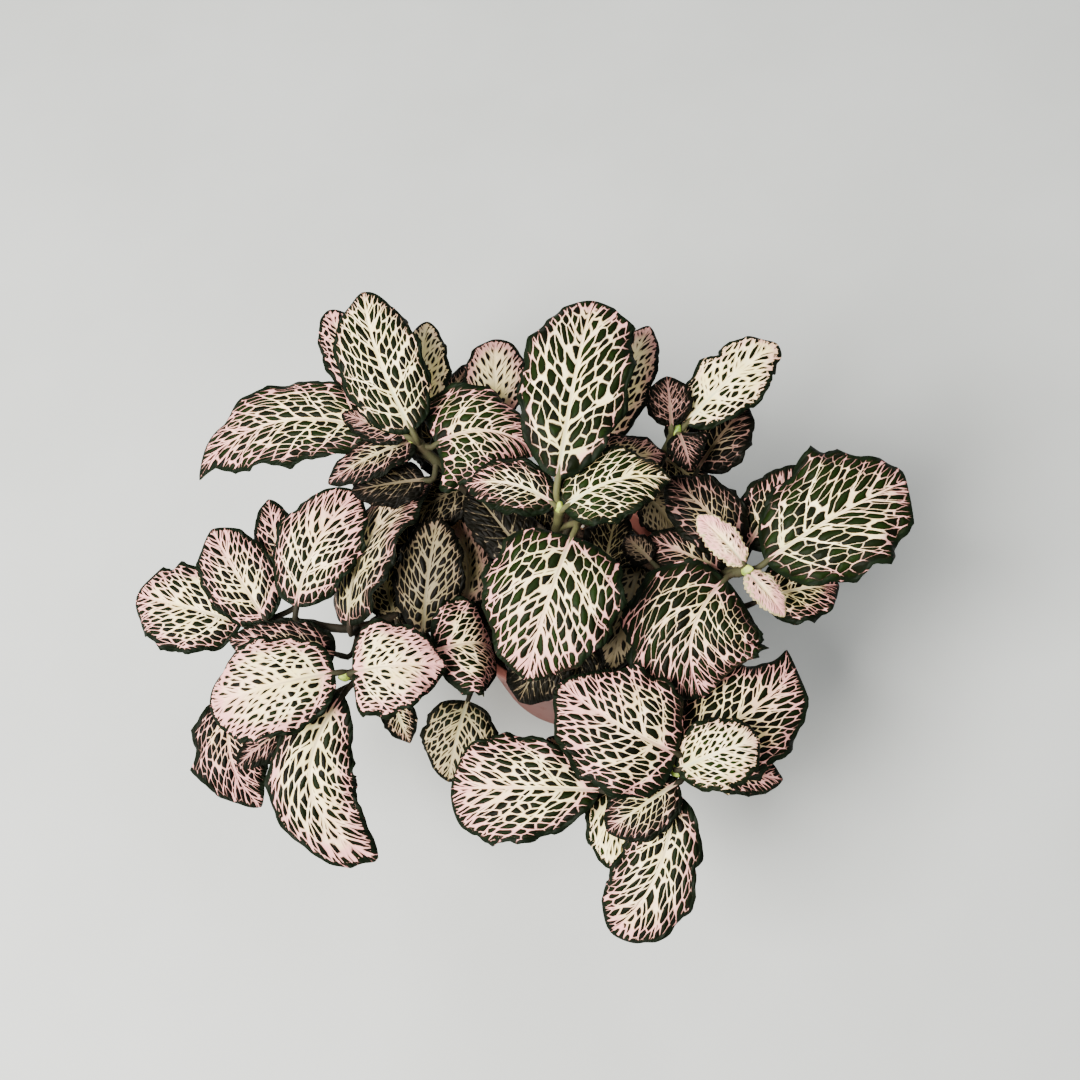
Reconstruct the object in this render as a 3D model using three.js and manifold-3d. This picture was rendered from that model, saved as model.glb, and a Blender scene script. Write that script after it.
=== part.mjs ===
// Potted nerve plant (Fittonia). Leafy shoots with waved, dark-edged leaves spread over a small nursery pot
// filled with potting soil. Millimetres, +Z up. The origin is the centre of the pot's underside, +X is the
// plant's right and +Y its back. Every shoot stands in a plain hole in the soil and is one grown piece.
import * as THREE from 'three';
import { mergeVertices } from 'three/addons/utils/BufferGeometryUtils.js';
import Module from 'manifold-3d';

const wasm = await Module();
wasm.setup();

// Pot
const FOOT_RADIUS = 30;
const RIM_RADIUS = 34;
const POT_HEIGHT = 71;
const POT_WALL = 1.4;
const FLOOR_THICKNESS = 2;
const RIM_BAND = 6;
const RIM_STEP = 1.1;
const EDGE_ROUNDING = 0.8;
const DRAIN_HOLES = 6;
const DRAIN_RADIUS = 3.5;
const DRAIN_CIRCLE = 19;
const ROUND_SIDES = 38;

// Soil
const CLEARANCE = 0.3;
const HOLE_CLEARANCE = 0.45;
const SOIL_TOP = 61;
const SOIL_BUMP = 0.9;
const SOIL_RINGS = 4;
const HOLE_DEPTH = 14;

// Stems and petioles
const STEM_RADIUS = 1.4;
const STEM_SIDES = 6;
const STEM_FOOT = 3;
const STEM_STEPS = 9;
const PETIOLE_RADIUS = 0.9;
const PETIOLE_SIDES = 4;
const PETIOLE_STEPS = 3;
const PETIOLE_RISE = 0.35;
const PETIOLE_UNDER_BLADE = 0.09;
const BUD_RADIUS = 1.7;
const BUD_STRETCH = 1.5;

// Blades
const BLADE_THICKNESS = 0.7;
const SMALL_BLADE = 22;
const ROWS_OF_LARGE_BLADE = [0, 0.08, 0.24, 0.42, 0.6, 0.8, 1];
const ROWS_OF_SMALL_BLADE = [0, 0.1, 0.32, 0.56, 0.8, 1];
const COLUMNS = [-1, -0.5, 0, 0.5, 1];
const END_ROUNDNESS = 1.27;
const FULL = 0.43;
const HEART = 0.15;
const FOLD = 0.24;
const CUP = 0.34;
const WAVE = 0.06;
const SCALLOP = 0.04;

// A blade runs from its base to its tip, both in millimetres. Its midrib bulges up by arch and to its left
// by bow, roll turns its face to its left in degrees, full is the share of its length where it is widest,
// and heart pulls its base lobes back.
function blade(from, to, wide, { arch = 3, bow = 0, roll = 0, full = FULL, heart = HEART } = {}) {
  return { from, to, wide, arch, bow, roll, full, heart };
}

// Each shoot: where it stands in the soil, the way of its stem from there, the joints along it where leaf
// pairs grow, as shares of its length, and its blades, from the pair at its end down.
const SHOOTS = {
  back_left_shoot: {
    root: [-12, 10],
    way: [[-17, 14, 76], [-29, 25, 92], [-41, 34, 106]],
    joints: [0.7, 0.84, 0.97],
    blades: [
      blade([-41, 35, 110], [-57, 80, 114], 25, { arch: 4, bow: 2, full: 0.48 }),
      blade([-41, 34, 106], [-67, 23, 102], 14, { roll: -6 }),
      blade([-53, 38, 104], [-111, 36, 90], 27, { arch: 5, bow: -7, full: 0.5 }),
      blade([-35, 33, 105], [-6, 32, 98], 32, { arch: 6, bow: 3, full: 0.3, heart: 0.8 }),
      blade([-43, 34, 109], [-63, 43, 107], 11, { arch: 1 }),
      blade([-50, 46, 98], [-72, 84, 99], 18, { bow: 1, full: 0.5 }),
      blade([-39, 24, 100], [-61, 22, 98], 14, { arch: 1 }),
      blade([-41, 43, 101], [-40, 77, 101], 17),
      blade([-36, 45, 94], [-28, 68, 90], 9, { arch: 2 }),
      blade([-27, 32, 84], [-49, 54, 80], 18, { arch: 2 }),
      blade([-28, 28, 87], [-47, 17, 85], 18, { arch: 2 }),
      blade([-45, 29, 86], [-65, 32, 84], 16, { arch: 2 }),
    ],
  },
  middle_shoot: {
    root: [0, 2],
    way: [[1, 3, 82], [0, 4, 102], [2, 5, 121]],
    joints: [0.55, 0.78, 0.98],
    blades: [
      blade([1, 5, 123], [-23, 13, 120], 16, { bow: -2, full: 0.5 }),
      blade([3, 4, 123], [31, 13, 120], 21, { arch: 4, bow: 2 }),
      blade([2, 11, 127], [12, 64, 128], 30, { arch: 5, full: 0.56 }),
      blade([5, -2, 118], [-8, -38, 106], 37, { arch: 6, heart: 0.3 }),
      blade([10, 20, 112], [31, 27, 106], 17, { arch: 2 }),
      blade([13, 30, 106], [28, 70, 104], 16, { full: 0.5 }),
      blade([-19, 44, 93], [-19, 72, 97], 19, { full: 0.58 }),
      blade([-10, 2, 92], [-27, 25, 92], 17, { arch: 2 }),
      blade([-3, 8, 84], [-14, 22, 84], 15, { arch: 2 }),
    ],
  },
  back_right_shoot: {
    root: [12, 11],
    way: [[17, 15, 78], [26, 24, 93], [34, 32, 108]],
    joints: [0.42, 0.6, 0.8, 0.98],
    blades: [
      blade([33, 33, 111], [32, 46, 116], 13, { arch: 2, full: 0.5 }),
      blade([35, 31, 110], [38, 21, 107], 10, { arch: 2 }),
      blade([37, 34, 110], [64, 58, 111], 20, { arch: 4, full: 0.52 }),
      blade([41, 27, 95], [56, 45, 99], 18),
      blade([34, 38, 88], [52, 52, 84], 17, { arch: 2 }),
      blade([31, 33, 91], [44, 22, 86], 15, { arch: 2 }),
      blade([26, 21, 88], [35, 10, 86], 14, { arch: 2 }),
    ],
  },
  right_shoot: {
    root: [17, -2],
    way: [[23, -3, 75], [38, -6, 90], [51, -8, 104]],
    joints: [0.62, 0.82, 0.97],
    blades: [
      blade([51, -7, 106], [39, 6, 110], 9, { arch: 2, full: 0.5 }),
      blade([52, -9, 105], [61, -21, 103], 8, { arch: 2 }),
      blade([57, -6, 105], [96, 15, 108], 34, { arch: 6, full: 0.5 }),
      blade([46, -10, 103], [39, -40, 91], 38, { arch: 6, bow: -6, heart: 0.3 }),
      blade([50, 0, 102], [32, 22, 100], 20),
      blade([57, -13, 94], [79, -8, 89], 19),
      blade([53, 1, 98], [70, 25, 98], 18),
      blade([46, -7, 98], [25, 5, 96], 17),
      blade([38, 2, 82], [58, 14, 78], 17, { arch: 2 }),
    ],
  },
  front_shoot: {
    root: [8, -17],
    way: [[12, -24, 73], [21, -42, 83], [30, -59, 92]],
    joints: [0.62, 0.8, 0.98],
    blades: [
      blade([31, -56, 96], [0, -37, 98], 34, { arch: 5, bow: 2, full: 0.42, heart: 0.3 }),
      blade([31, -60, 94], [53, -52, 94], 19, { full: 0.5 }),
      blade([31, -63, 92], [12, -75, 87], 17, { full: 0.48 }),
      blade([30, -65, 88], [13, -103, 72], 24, { arch: 5, bow: 3, full: 0.58 }),
      blade([33, -52, 82], [66, -30, 80], 31, { arch: 4, bow: -3 }),
      blade([10, -64, 86], [-32, -62, 78], 30, { arch: 4, full: 0.62 }),
      blade([15, -63, 80], [21, -84, 71], 18, { bow: -3 }),
      blade([41, -58, 79], [61, -60, 75], 12, { arch: 2 }),
      blade([8, -55, 79], [-5, -48, 77], 8, { arch: 1 }),
    ],
  },
  left_shoot: {
    root: [-18, -9],
    way: [[-22, -13, 71], [-33, -24, 78], [-49, -28, 87], [-59, -33, 96]],
    joints: [0.72, 0.86, 0.98],
    blades: [
      blade([-62, -33, 99], [-98, -41, 95], 29, { arch: 4, full: 0.55 }),
      blade([-57, -33, 99], [-31, -31, 97], 27, { arch: 4, full: 0.38, heart: 0.25 }),
      blade([-61, -38, 93], [-53, -81, 75], 24, { arch: 4, bow: -13, full: 0.5 }),
      blade([-75, -42, 86], [-93, -56, 83], 12, { arch: 2 }),
      blade([-50, -36, 78], [-46, -47, 72], 10, { arch: 2 }),
    ],
  },
  low_left_shoot: {
    root: [-21, 6],
    way: [[-28, 2, 71], [-44, -7, 77], [-62, -15, 81], [-80, -13, 82], [-91, -13, 84]],
    joints: [0.34, 0.62, 0.8, 0.97],
    blades: [
      blade([-95, -14, 85], [-129, -4, 84], 27, { full: 0.5 }),
      blade([-87, -14, 87], [-105, 14, 91], 22, { full: 0.48 }),
      blade([-77, -11, 91], [-60, 23, 95], 26, { arch: 4, bow: 2, full: 0.52 }),
      blade([-95, -35, 83], [-89, -65, 74], 21, { arch: 4, bow: -4, full: 0.48 }),
      blade([-81, -4, 84], [-90, 25, 87], 15),
      blade([-62, -16, 87], [-38, 26, 93], 26, { bow: 7, roll: 34 }),
      blade([-66, -24, 86], [-98, -19, 86], 17, { arch: 2 }),
      blade([-50, -12, 79], [-57, 10, 79], 14, { arch: 2 }),
      blade([-42, 6, 72], [-60, 26, 72], 18, { arch: 2 }),
    ],
  },
  low_middle_shoot: {
    root: [-8, -15],
    way: [[-14, -17, 73], [-25, -19, 82], [-34, -20, 88]],
    joints: [0.62, 0.8, 0.98],
    blades: [
      blade([-41, -17, 82], [-36, 15, 92], 21, { full: 0.5 }),
      blade([-36, -26, 93], [-21, -22, 79], 30, { arch: 6 }),
      blade([-29, -9, 80], [-34, 20, 82], 15, { arch: 2, bow: -3 }),
      blade([-28, -37, 78], [-34, -59, 71], 21),
      blade([-42, -22, 73], [-60, -9, 70], 15, { arch: 2 }),
    ],
  },
  low_right_shoot: {
    root: [5, -9],
    way: [[7, -11, 76], [12, -10, 86], [20, -6, 94]],
    joints: [0.66, 0.98],
    blades: [
      blade([26, -3, 100], [19, 5, 98], 9, { arch: 1 }),
      blade([23, -3, 96], [14, -32, 90], 17),
      blade([-2, -21, 84], [-13, -37, 76], 20),
      blade([7, -20, 79], [2, -33, 73], 16),
      blade([28, -18, 76], [46, -28, 72], 18, { arch: 2 }),
      blade([12, -4, 86], [17, 18, 86], 17, { arch: 2 }),
    ],
  },
};

const UP = new THREE.Vector3(0, 0, 1);

// A closed geometry as a solid that can be joined and cut.
function solid(geometry) {
  const closed = geometry.clone();
  closed.deleteAttribute('normal');
  closed.deleteAttribute('uv');
  const merged = mergeVertices(closed, 1e-4);
  return new wasm.Manifold(new wasm.Mesh({
    numProp: 3,
    vertProperties: new Float32Array(merged.attributes.position.array),
    triVerts: new Uint32Array(merged.index.array),
  }));
}

function piece(name, manifold, colour, roughness) {
  const mesh = manifold.getMesh();
  const geometry = new THREE.BufferGeometry();
  geometry.setAttribute('position', new THREE.BufferAttribute(mesh.vertProperties, 3));
  geometry.setIndex(new THREE.BufferAttribute(mesh.triVerts, 1));
  geometry.computeVertexNormals();
  const material = new THREE.MeshStandardMaterial({ color: colour, roughness, metalness: 0 });
  const made = new THREE.Mesh(geometry, material);
  made.name = name;
  return made;
}

// Lathe turned about Z: the profile's points are [radius, height].
function turned(profile) {
  const points = profile.map(([radius, height]) => new THREE.Vector2(radius, height));
  return new THREE.LatheGeometry(points, ROUND_SIDES).rotateX(Math.PI / 2);
}

function upright(radius, bottom, top, sides) {
  const shape = new THREE.CylinderGeometry(radius, radius, top - bottom, sides).rotateX(Math.PI / 2);
  return shape.translate(0, 0, (top + bottom) / 2);
}

function tube(curve, radius, sides, steps) {
  const section = new THREE.Shape();
  for (let side = 0; side < sides; side += 1) {
    const angle = (side / sides) * 2 * Math.PI;
    const point = [radius * Math.cos(angle), radius * Math.sin(angle)];
    if (side === 0) section.moveTo(...point);
    else section.lineTo(...point);
  }
  return new THREE.ExtrudeGeometry(section, { steps, extrudePath: curve, bevelEnabled: false });
}

function wallRadius(height) {
  return FOOT_RADIUS + (RIM_RADIUS - RIM_STEP - FOOT_RADIUS) * (height / POT_HEIGHT);
}

// Thin moulded pot: flat underside with drainage holes, plain wall, and a stiff band round the rim.
function makePot() {
  const bandFoot = POT_HEIGHT - RIM_BAND;
  let body = solid(turned([
    [0, 0],
    [FOOT_RADIUS - EDGE_ROUNDING, 0],
    [FOOT_RADIUS, EDGE_ROUNDING],
    [wallRadius(bandFoot), bandFoot],
    [RIM_RADIUS - 0.2, bandFoot + RIM_STEP / 2],
    [RIM_RADIUS, POT_HEIGHT - EDGE_ROUNDING],
    [RIM_RADIUS - EDGE_ROUNDING, POT_HEIGHT],
    [wallRadius(POT_HEIGHT) - POT_WALL + 0.3, POT_HEIGHT],
    [wallRadius(POT_HEIGHT) - POT_WALL, POT_HEIGHT - EDGE_ROUNDING],
    [wallRadius(FLOOR_THICKNESS) - POT_WALL, FLOOR_THICKNESS],
    [0, FLOOR_THICKNESS],
  ]));
  for (let hole = 0; hole < DRAIN_HOLES; hole += 1) {
    const angle = ((hole + 0.5) / DRAIN_HOLES) * 2 * Math.PI;
    const drill = upright(DRAIN_RADIUS, -1, FLOOR_THICKNESS + 1, 12);
    drill.translate(DRAIN_CIRCLE * Math.cos(angle), DRAIN_CIRCLE * Math.sin(angle), 0);
    body = body.subtract(solid(drill));
  }
  return piece('pot', body, 0xa9786c, 0.62);
}

function soilHeight(x, y) {
  const wide = Math.sin(0.31 * x + 1.3) * Math.cos(0.27 * y - 0.4);
  const narrow = Math.sin(0.83 * x - 0.71 * y) * Math.sin(0.64 * y + 0.52 * x + 2);
  return SOIL_TOP + SOIL_BUMP * (0.6 * wide + 0.4 * narrow);
}

// One filling of potting soil with a bumpy top and a plain hole for each stem.
function makeSoil() {
  const bottom = FLOOR_THICKNESS + CLEARANCE;
  const inner = (height) => wallRadius(height) - POT_WALL - CLEARANCE;
  const profile = [[0, bottom], [inner(bottom), bottom]];
  for (let ring = SOIL_RINGS; ring >= 0; ring -= 1) {
    profile.push([inner(SOIL_TOP) * (ring / SOIL_RINGS), SOIL_TOP]);
  }
  const geometry = turned(profile);
  const places = geometry.attributes.position;
  for (let index = 0; index < places.count; index += 1) {
    if (places.getZ(index) > SOIL_TOP - 1) {
      places.setZ(index, soilHeight(places.getX(index), places.getY(index)));
    }
  }
  let filling = solid(geometry);
  for (const { root } of Object.values(SHOOTS)) {
    const [x, y] = root;
    const hole = upright(STEM_RADIUS + HOLE_CLEARANCE, SOIL_TOP - HOLE_DEPTH - CLEARANCE, SOIL_TOP + 5, 10);
    filling = filling.subtract(solid(hole.translate(x, y, 0)));
  }
  return piece('soil', filling, 0x2e2018, 1);
}

// A repeatable draw between 0 and 1 for each blade.
function draw(seed, which) {
  const value = Math.sin(seed * 12.9898 + which * 78.233) * 43758.5453;
  return value - Math.floor(value);
}

// Half of a blade's outline: how wide it is at a share of its length, with 1 where it is widest.
function outline(share, full) {
  if (share <= 0 || share >= 1) return 0;
  return ((share / full) ** full * ((1 - share) / (1 - full)) ** (1 - full)) ** END_ROUNDNESS;
}

// The midrib of a blade as a curve.
function midribOf({ from, to, arch, bow }) {
  const base = new THREE.Vector3(...from);
  const tip = new THREE.Vector3(...to);
  const along = tip.clone().sub(base).normalize();
  const left = UP.clone().cross(along).normalize();
  const top = along.clone().cross(left);
  const middle = base.clone().add(tip).multiplyScalar(0.5);
  middle.addScaledVector(top, 2 * arch).addScaledVector(left, 2 * bow);
  return { curve: new THREE.QuadraticBezierCurve3(base, middle, tip), top, length: base.distanceTo(tip) };
}

// A blade's middle surface at a share along it and a share across it, from -1 on its right to 1 on its left:
// a valley along the midrib, full cheeks, and margins that turn down, wave and are slightly scalloped.
function bladePoint(leaf, midrib, seed, along, across) {
  const tangent = midrib.curve.getTangent(along);
  const left = midrib.top.clone().cross(tangent).normalize();
  const face = tangent.clone().cross(left);
  const roll = THREE.MathUtils.degToRad(leaf.roll);
  const normal = face.clone().multiplyScalar(Math.cos(roll)).addScaledVector(left, Math.sin(roll));
  left.multiplyScalar(Math.cos(roll)).addScaledVector(face, -Math.sin(roll));
  const out = Math.abs(across);
  const side = across > 0 ? 1 : 2;
  const scallops = Math.sin(2 * Math.PI * (4.6 * along + draw(seed, side + 2)));
  const half = (leaf.wide / 2) * outline(along, leaf.full) * (1 + SCALLOP * out * scallops);
  const waves = Math.sin(2 * Math.PI * ((2 + draw(seed, 5)) * along + draw(seed, side)));
  const swell = Math.sqrt(Math.max(Math.sin(Math.PI * along), 0));
  const height = half * (FOLD * out - CUP * out * out) + WAVE * leaf.wide * out ** 3 * waves * swell;
  const back = leaf.heart * midrib.length * 4 * along * (1 - along) ** 4 * out * out;
  const point = midrib.curve.getPoint(along);
  point.addScaledVector(left, half * across).addScaledVector(normal, height);
  return point.addScaledVector(tangent, -back);
}

// A closed blade of even thickness. Both faces are split into triangles alike.
function makeBlade(leaf, seed) {
  const midrib = midribOf(leaf);
  const rows = leaf.wide < SMALL_BLADE ? ROWS_OF_SMALL_BLADE : ROWS_OF_LARGE_BLADE;
  const step = 0.01;
  const faces = [[], []];
  const rowOf = (along) => (along === 0 || along === 1 ? [0] : COLUMNS);
  const places = rows.map((along) => rowOf(along).map((across) => {
    const point = bladePoint(leaf, midrib, seed, along, across);
    const inner = Math.min(Math.max(along, 0.04), 0.96);
    const here = bladePoint(leaf, midrib, seed, inner, across);
    const ahead = bladePoint(leaf, midrib, seed, inner + step, across).sub(here);
    const beside = bladePoint(leaf, midrib, seed, inner, across + step).sub(here);
    const normal = ahead.cross(beside).normalize();
    const index = faces[0].length;
    faces[0].push(point.clone().addScaledVector(normal, BLADE_THICKNESS / 2));
    faces[1].push(point.clone().addScaledVector(normal, -BLADE_THICKNESS / 2));
    return index;
  }));
  const triangles = [];
  for (let row = 0; row + 1 < places.length; row += 1) {
    const [near, far] = [places[row], places[row + 1]];
    for (let column = 0; column + 1 < COLUMNS.length; column += 1) {
      if (near.length === 1) triangles.push([near[0], far[column], far[column + 1]]);
      else if (far.length === 1) triangles.push([near[column], far[0], near[column + 1]]);
      else {
        triangles.push([near[column], far[column], far[column + 1]]);
        triangles.push([near[column], far[column + 1], near[column + 1]]);
      }
    }
  }
  const right = places.map((row) => row[0]);
  const left = places.map((row) => row[row.length - 1]).reverse();
  const rim = [...right, ...left.slice(1, -1)];
  const below = faces[0].length;
  const index = triangles.flatMap(([a, b, c]) => [a, b, c, below + a, below + c, below + b]);
  rim.forEach((start, corner) => {
    const end = rim[(corner + 1) % rim.length];
    index.push(start, below + start, below + end, start, below + end, end);
  });
  const geometry = new THREE.BufferGeometry();
  geometry.setFromPoints([...faces[0], ...faces[1]]);
  geometry.setIndex(index);
  return { body: solid(geometry), midrib };
}

// The petiole leaves the stem at the nearest joint, bows up to the blade and runs on under its midrib.
function makePetiole(joint, midrib) {
  const start = midrib.curve.getPoint(0);
  const under = midrib.curve.getPoint(PETIOLE_UNDER_BLADE).addScaledVector(midrib.top, -PETIOLE_RADIUS / 2);
  const way = midrib.curve.getTangent(0);
  const reach = start.distanceTo(joint);
  const before = start.clone().addScaledVector(way, -reach * PETIOLE_RISE);
  before.addScaledVector(UP, -PETIOLE_RADIUS / 2);
  const points = reach > 4 ? [joint, before, start, under] : [joint, start, under];
  return solid(tube(new THREE.CatmullRomCurve3(points), PETIOLE_RADIUS, PETIOLE_SIDES, PETIOLE_STEPS));
}

let bladesMade = 0;

// One grown piece: the stem with its bud, and its petioles and blades.
function makeShoot(name, { root, way, joints, blades }) {
  const foot = upright(STEM_RADIUS, SOIL_TOP - HOLE_DEPTH, SOIL_TOP + STEM_FOOT, STEM_SIDES);
  const points = [[...root, SOIL_TOP + 1], [...root, SOIL_TOP + 4], ...way];
  const stem = new THREE.CatmullRomCurve3(points.map((point) => new THREE.Vector3(...point)));
  const places = joints.map((share) => stem.getPointAt(share));
  const parts = [solid(foot.translate(...root, 0)), solid(tube(stem, STEM_RADIUS, STEM_SIDES, STEM_STEPS))];
  const bud = new THREE.SphereGeometry(BUD_RADIUS, 5, 3).rotateX(Math.PI / 2).scale(1, 1, BUD_STRETCH);
  parts.push(solid(bud.translate(...stem.getPoint(1).addScaledVector(UP, BUD_RADIUS / 2).toArray())));
  for (const leaf of blades) {
    bladesMade += 1;
    const { body, midrib } = makeBlade(leaf, bladesMade);
    const base = midrib.curve.getPoint(0);
    const lower = places.filter((place) => place.z < base.z);
    lower.sort((one, other) => one.distanceTo(base) - other.distanceTo(base));
    parts.push(body, makePetiole(lower[0] ?? places[0], midrib));
  }
  return piece(name, wasm.Manifold.union(parts), 0x9a8f7e, 0.55);
}

const plant = new THREE.Group();
plant.add(makePot(), makeSoil());
for (const [name, shoot] of Object.entries(SHOOTS)) plant.add(makeShoot(name, shoot));

export default plant;
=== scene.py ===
import math

import bmesh
import bpy
import numpy as np
from mathutils import Matrix, Vector


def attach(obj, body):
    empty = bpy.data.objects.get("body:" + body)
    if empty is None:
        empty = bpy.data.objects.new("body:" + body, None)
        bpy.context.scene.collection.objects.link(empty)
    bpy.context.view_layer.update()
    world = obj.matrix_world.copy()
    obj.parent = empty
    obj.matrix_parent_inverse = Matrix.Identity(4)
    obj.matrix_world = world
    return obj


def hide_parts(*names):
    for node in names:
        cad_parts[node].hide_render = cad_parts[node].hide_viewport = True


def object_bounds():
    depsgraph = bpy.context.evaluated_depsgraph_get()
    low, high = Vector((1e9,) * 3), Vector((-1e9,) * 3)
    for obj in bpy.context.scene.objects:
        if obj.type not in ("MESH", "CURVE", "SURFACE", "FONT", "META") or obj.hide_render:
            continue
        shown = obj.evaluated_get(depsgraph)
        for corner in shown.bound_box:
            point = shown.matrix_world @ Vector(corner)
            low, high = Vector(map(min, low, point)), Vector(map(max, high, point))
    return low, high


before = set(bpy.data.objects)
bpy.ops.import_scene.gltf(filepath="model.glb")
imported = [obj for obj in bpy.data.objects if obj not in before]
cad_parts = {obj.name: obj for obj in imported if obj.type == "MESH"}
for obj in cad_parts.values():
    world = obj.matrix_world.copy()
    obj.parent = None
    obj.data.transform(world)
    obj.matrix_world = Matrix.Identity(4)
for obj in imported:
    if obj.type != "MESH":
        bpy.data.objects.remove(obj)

CAD_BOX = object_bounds()
MM = 0.001


# Table top and light. The plant stands on a pale matt table under large soft lamps, and the camera looks
# steeply down on it. Neither is part of the plant.
class Wire:
    """A socket of a material. Arithmetic on it adds Math nodes, and node() adds any other node."""

    def __init__(self, socket):
        self.socket = socket

    def node(self, kind, settings=None, sockets=None, out=0):
        """A new node, as the wire of one of its outputs. Its settings are set first, then its sockets, to
        values or wires. A socket goes by its identifier or its number."""
        made = self.socket.id_data.nodes.new(kind)
        for name, value in (settings or {}).items():
            setattr(made, name, value)
        known = {socket.identifier: socket for socket in made.inputs}
        for name, value in (sockets or {}).items():
            socket = made.inputs[name] if isinstance(name, int) else known[name]
            if isinstance(value, Wire):
                self.socket.id_data.links.new(value.socket, socket)
            else:
                socket.default_value = value
        outs = {socket.identifier: socket for socket in made.outputs}
        return Wire(outs[out] if isinstance(out, str) else made.outputs[out])

    def maths(self, operation, *others):
        values = dict(enumerate((self,) + others))
        return self.node("ShaderNodeMath", {"operation": operation}, values)

    def __add__(self, other):
        return self.maths("ADD", other)

    def __sub__(self, other):
        return self.maths("SUBTRACT", other)

    def __mul__(self, other):
        return self.maths("MULTIPLY", other)

    def __truediv__(self, other):
        return self.maths("DIVIDE", other)

    def __neg__(self):
        return self.maths("MULTIPLY", -1)

    def __rsub__(self, other):
        return -self + other

    __radd__ = __add__
    __rmul__ = __mul__

    def axis(self, name):
        return self.node("ShaderNodeSeparateXYZ", {}, {"Vector": self}, name)

    def floor(self):
        return self.maths("FLOOR")

    def size(self):
        return self.maths("ABSOLUTE")

    def over(self, limit):
        return self.maths("GREATER_THAN", limit)

    def least(self, other):
        return self.maths("MINIMUM", other)

    def most(self, other):
        return self.maths("MAXIMUM", other)

    def soft_least(self, other, blend):
        return self.maths("SMOOTH_MIN", other, blend)

    def rise(self, start, end):
        """0 before start, 1 after end, and a smooth step between them. The two may be wires."""
        values = {"Value": self, "From Min": start, "From Max": end}
        return self.node("ShaderNodeMapRange", {"interpolation_type": "SMOOTHSTEP"}, values)

    def tint(self, under, over):
        """under where this is 0, and the colour over where it is 1."""
        values = {"Factor_Float": self, "A_Color": under, "B_Color": over}
        return self.node("ShaderNodeMix", {"data_type": "RGBA"}, values, "Result_Color")

    def grain(self, scale, detail=3, rough=0.55, stretch=None):
        """Cloudy noise from 0 to 1 at this wire as a place, which stretch scales along each axis."""
        place = self
        if stretch:
            place = self.node("ShaderNodeVectorMath", {"operation": "MULTIPLY"}, {0: self, 1: stretch})
        values = {"Vector": place, "Scale": scale, "Detail": detail, "Roughness": rough}
        return place.node("ShaderNodeTexNoise", {}, values)

    def bump(self, depth, strength=1):
        """A normal for this wire as a height, where 1 stands depth metres up."""
        return self.node("ShaderNodeBump", {}, {"Height": self, "Distance": depth, "Strength": strength})


def paint(code):
    """A colour as it looks on a screen, such as "b9b9b4", in the light values that a material takes."""
    parts = [int(code[at : at + 2], 16) / 255 for at in (0, 2, 4)]
    return (*[part / 12.92 if part < 0.04045 else ((part + 0.055) / 1.055) ** 2.4 for part in parts], 1.0)


def finish_of(name, **constants):
    """A new material. Returns it, its places in metres as a wire, and a function that joins wires to it."""
    material = bpy.data.materials.new(name)
    material.use_nodes = True
    shader = material.node_tree.nodes["Principled BSDF"]
    for socket, value in constants.items():
        shader.inputs[socket.replace("_", " ")].default_value = value
    places = material.node_tree.nodes.new("ShaderNodeTexCoord").outputs["Object"]

    def join(**wires):
        for socket, wire in wires.items():
            material.node_tree.links.new(wire.socket, shader.inputs[socket.replace("_", " ")])

    return material, Wire(places), join


def mesh_piece(name, verts, faces, material, smooth=True):
    """A new object from places in millimetres and faces that give the numbers of their corners."""
    mesh = bpy.data.meshes.new(name)
    mesh.from_pydata((np.asarray(verts, float) * MM).tolist(), [], faces)
    mesh.polygons.foreach_set("use_smooth", [smooth] * len(mesh.polygons))
    mesh.materials.append(material)
    made = bpy.data.objects.new(name, mesh)
    bpy.context.scene.collection.objects.link(made)
    return made


TABLE_HALF = 900
table_finish, where, join = finish_of("table_finish", Roughness=0.62, Specular_IOR_Level=0.35)
cloud = where.grain(9, 4).rise(0.3, 0.7)
speck = where.grain(900, 2)
join(
    Base_Color=(cloud * 0.6 + speck * 0.2).tint(paint("999b98"), paint("a2a4a2")),
    Normal=speck.bump(0.00005, 0.3),
)
corners = [(x * TABLE_HALF, y * TABLE_HALF, 0) for x, y in ((-1, -1), (1, -1), (1, 1), (-1, 1))]
mesh_piece("table_top", corners, [(0, 1, 2, 3)], table_finish, smooth=False)

CAMERA_PLACE = (18.73, -104.64, 386.36)
CAMERA_RIGHT = (0.99659, 0.0, -0.0826)
CAMERA_UP = (0.02924, 0.9352, 0.3528)
LENS = 36.1
FILM_WIDTH = 36
PLANT_MIDDLE = (0, 0, 0.08)
camera = bpy.data.cameras.new("camera")
camera.lens, camera.sensor_width = LENS, FILM_WIDTH
seen = bpy.data.objects.new("camera", camera)
right, up = Vector(CAMERA_RIGHT).normalized(), Vector(CAMERA_UP).normalized()
turn = Matrix((right, up, right.cross(up))).transposed()
seen.matrix_world = Matrix.Translation(Vector(CAMERA_PLACE) * MM) @ turn.to_4x4()
bpy.context.scene.collection.objects.link(seen)
bpy.context.scene.camera = seen


def lamp(name, place, size, watts, colour):
    """A soft round lamp that faces the plant, with its place and size in metres."""
    light = bpy.data.lights.new(name, "AREA")
    light.shape, light.size, light.energy, light.color = "DISK", size, watts, colour
    made = bpy.data.objects.new(name, light)
    made.location = place
    made.rotation_euler = (Vector(PLANT_MIDDLE) - Vector(place)).to_track_quat("-Z", "Y").to_euler()
    bpy.context.scene.collection.objects.link(made)


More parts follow.
